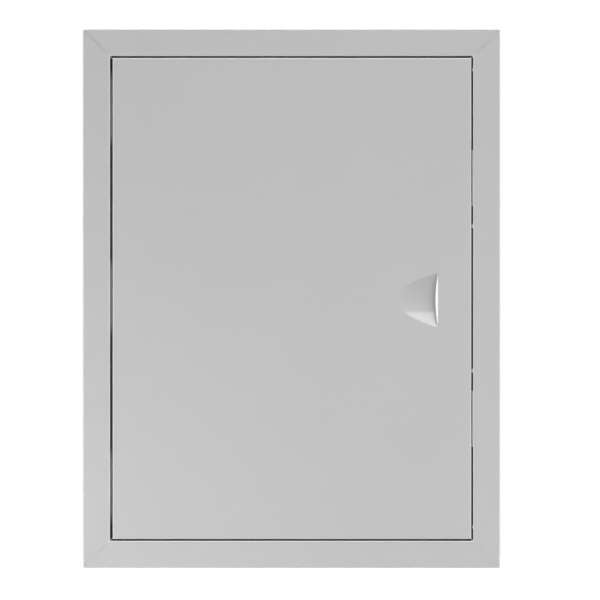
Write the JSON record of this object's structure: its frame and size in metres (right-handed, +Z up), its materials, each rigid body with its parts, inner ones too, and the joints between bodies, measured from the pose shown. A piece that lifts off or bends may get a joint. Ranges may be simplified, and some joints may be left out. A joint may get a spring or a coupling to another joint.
{
  "type": "access panel",
  "caption": "Flush steel access panel: a mitred folded-sheet frame with a hinged door leaf, a pressed finger scoop and magnetic catches.",
  "frame": {"origin": "middle of the wall opening, in the plane of the wall's face, where the flange's turned-back edge rests", "axes": "+Z up, +X towards the latch side, +Y into the wall; the front of the door faces -Y"},
  "size_m": [0.3432, 0.0303, 0.4432],
  "materials": {
    "grey_paint": "semi-gloss light grey powder coat",
    "zinc_steel": "bright zinc plate",
    "black_nylon": "matt moulded nylon",
    "pale_plastic": "satin moulded plastic",
    "ferrite": "ground dark ferrite",
    "spring_steel": "drawn spring steel"
  },
  "bodies": {
    "frame": {"top_rail": "grey_paint", "bottom_rail": "grey_paint", "hinge_rail": "grey_paint", "latch_rail": "grey_paint", "corner_gusset_top_left": "grey_paint", "corner_gusset_top_right": "grey_paint", "corner_gusset_bottom_left": "grey_paint", "corner_gusset_bottom_right": "grey_paint", "lower_pivot_pin": "zinc_steel", "upper_catch_poles": "zinc_steel", "lower_catch_poles": "zinc_steel", "upper_catch_screws": "zinc_steel", "lower_catch_screws": "zinc_steel", "upper_catch_housing": "pale_plastic", "lower_catch_housing": "pale_plastic", "upper_catch_magnet": "ferrite", "lower_catch_magnet": "ferrite"},
    "door": {"door_leaf": "grey_paint", "upper_pivot_bush": "black_nylon", "lower_pivot_bush": "black_nylon", "pin_bracket": "grey_paint", "pivot_spring": "spring_steel"},
    "spring_pin": {"upper_pivot_pin": "zinc_steel", "pin_clip": "spring_steel"}
  },
  "joints": [
    {"name": "door_swing", "type": "hinge", "parent": "frame", "child": "door", "pos_m": [-0.1381, 0.001, 0], "axis": [0, 0, -1], "range_deg": [0, 115]},
    {"name": "pin_draw", "type": "slide", "parent": "door", "child": "spring_pin", "axis": [0, 0, -1], "range_m": [0, 0.004], "stiffness_N_per_m": 600, "springref_m": -0.006, "deforming": ["pivot_spring"]}
  ]
}
